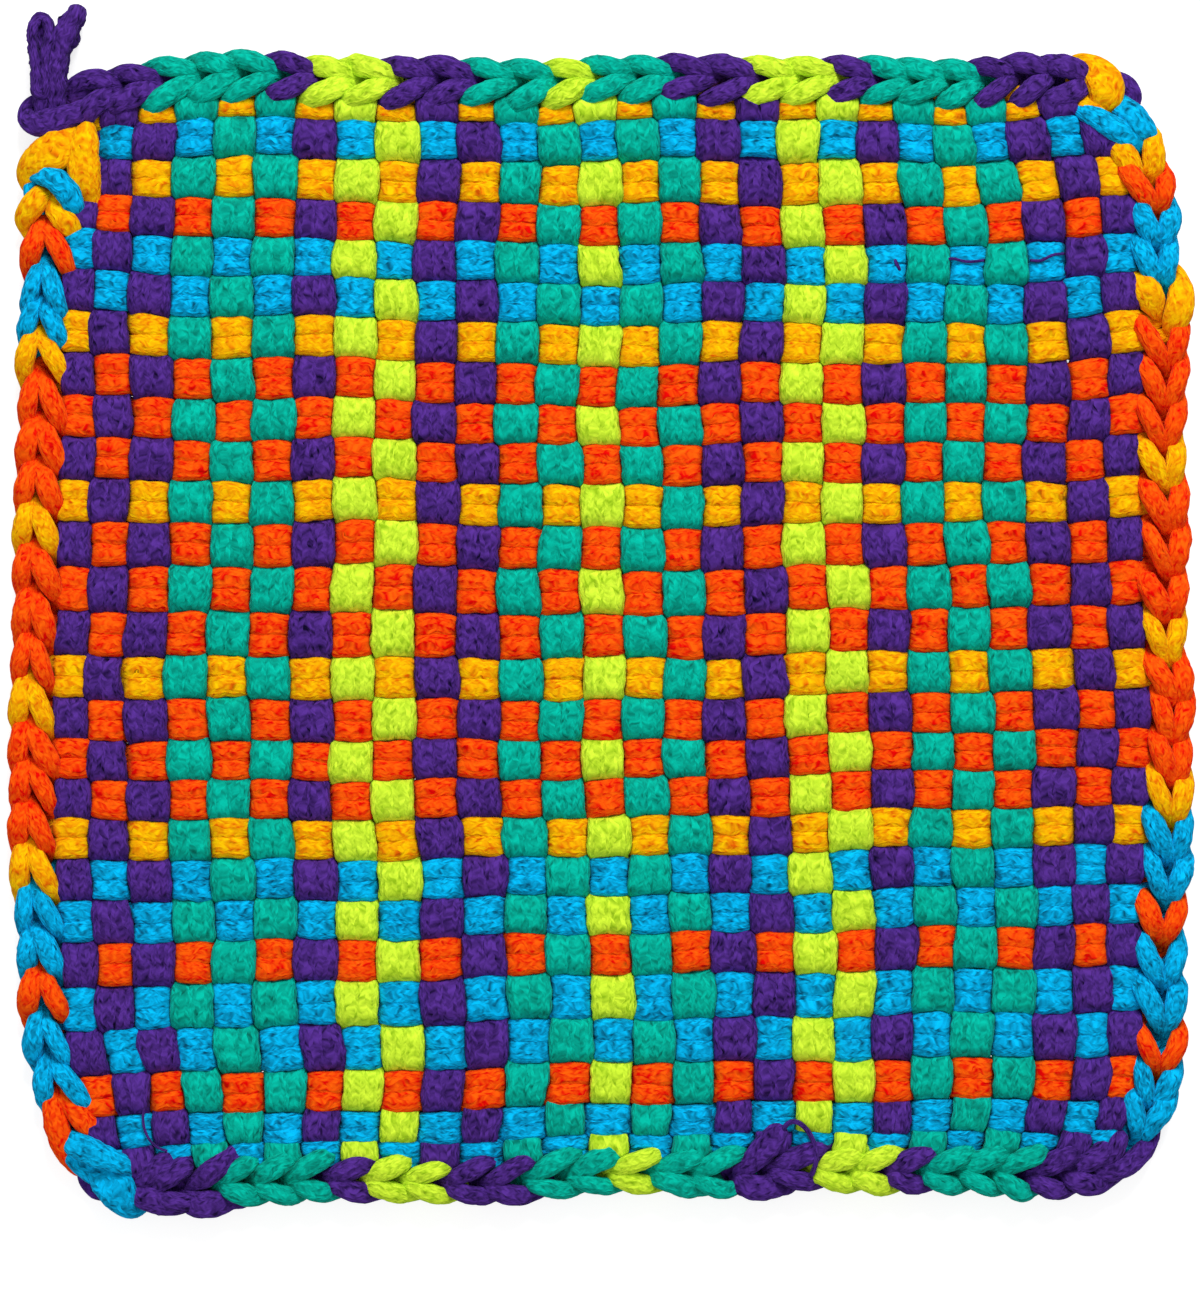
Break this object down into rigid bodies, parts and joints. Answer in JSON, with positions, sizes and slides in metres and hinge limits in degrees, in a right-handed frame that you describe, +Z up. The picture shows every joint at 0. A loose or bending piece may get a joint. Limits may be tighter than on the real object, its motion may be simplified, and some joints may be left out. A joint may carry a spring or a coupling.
{
  "type": "woven loop potholder",
  "caption": "Square potholder woven from stretchy cotton loops in a colourful check, with a chain-stitched edge and a hanging loop at one corner.",
  "frame": {"origin": "middle of the woven field, on the underside that rests on the table", "axes": "+Z up out of the side that the picture shows, +Y towards the edge with the hanging loop (top of the picture), +X to the picture's right"},
  "size_m": [0.211, 0.2162, 0.0084],
  "materials": {
    "purple_cotton": "matte cotton jersey knit",
    "teal_cotton": "matte cotton jersey knit",
    "lime_cotton": "matte cotton jersey knit",
    "orange_cotton": "matte cotton jersey knit",
    "blue_cotton": "matte cotton jersey knit",
    "red_cotton": "matte cotton jersey knit"
  },
  "bodies": {
    "weave": {"warp_loop_01": "purple_cotton", "warp_loop_02": "purple_cotton", "warp_loop_03": "purple_cotton", "warp_loop_04": "teal_cotton", "warp_loop_05": "teal_cotton", "warp_loop_06": "teal_cotton", "warp_loop_07": "purple_cotton", "warp_loop_08": "lime_cotton", "warp_loop_09": "lime_cotton", "warp_loop_10": "purple_cotton", "warp_loop_11": "purple_cotton", "warp_loop_12": "teal_cotton", "warp_loop_13": "teal_cotton", "warp_loop_14": "lime_cotton", "warp_loop_15": "teal_cotton", "warp_loop_16": "teal_cotton", "warp_loop_17": "purple_cotton", "warp_loop_18": "purple_cotton", "warp_loop_19": "lime_cotton", "warp_loop_20": "lime_cotton", "warp_loop_21": "purple_cotton", "warp_loop_22": "teal_cotton", "warp_loop_23": "teal_cotton", "warp_loop_24": "teal_cotton", "warp_loop_25": "purple_cotton", "warp_loop_26": "purple_cotton", "warp_loop_27": "purple_cotton", "weft_loop_01": "orange_cotton", "weft_loop_02": "blue_cotton", "weft_loop_03": "orange_cotton", "weft_loop_04": "red_cotton", "weft_loop_05": "blue_cotton", "weft_loop_06": "blue_cotton", "weft_loop_07": "orange_cotton", "weft_loop_08": "red_cotton", "weft_loop_09": "red_cotton", "weft_loop_10": "red_cotton", "weft_loop_11": "orange_cotton", "weft_loop_12": "red_cotton", "weft_loop_13": "red_cotton", "weft_loop_14": "red_cotton", "weft_loop_15": "orange_cotton", "weft_loop_16": "red_cotton", "weft_loop_17": "red_cotton", "weft_loop_18": "red_cotton", "weft_loop_19": "orange_cotton", "weft_loop_20": "blue_cotton", "weft_loop_21": "blue_cotton", "weft_loop_22": "red_cotton", "weft_loop_23": "blue_cotton", "weft_loop_24": "blue_cotton", "weft_loop_25": "red_cotton", "weft_loop_26": "blue_cotton", "weft_loop_27": "blue_cotton"},
    "hanger": {"hanging_loop": "purple_cotton"}
  },
  "joints": [
    {"name": "hanging_loop_swing", "type": "hinge", "parent": "weave", "child": "hanger", "pos_m": [-0.1002, 0.10007, 0.0042], "axis": [1, 0, 0], "range_deg": [0, 90]}
  ]
}
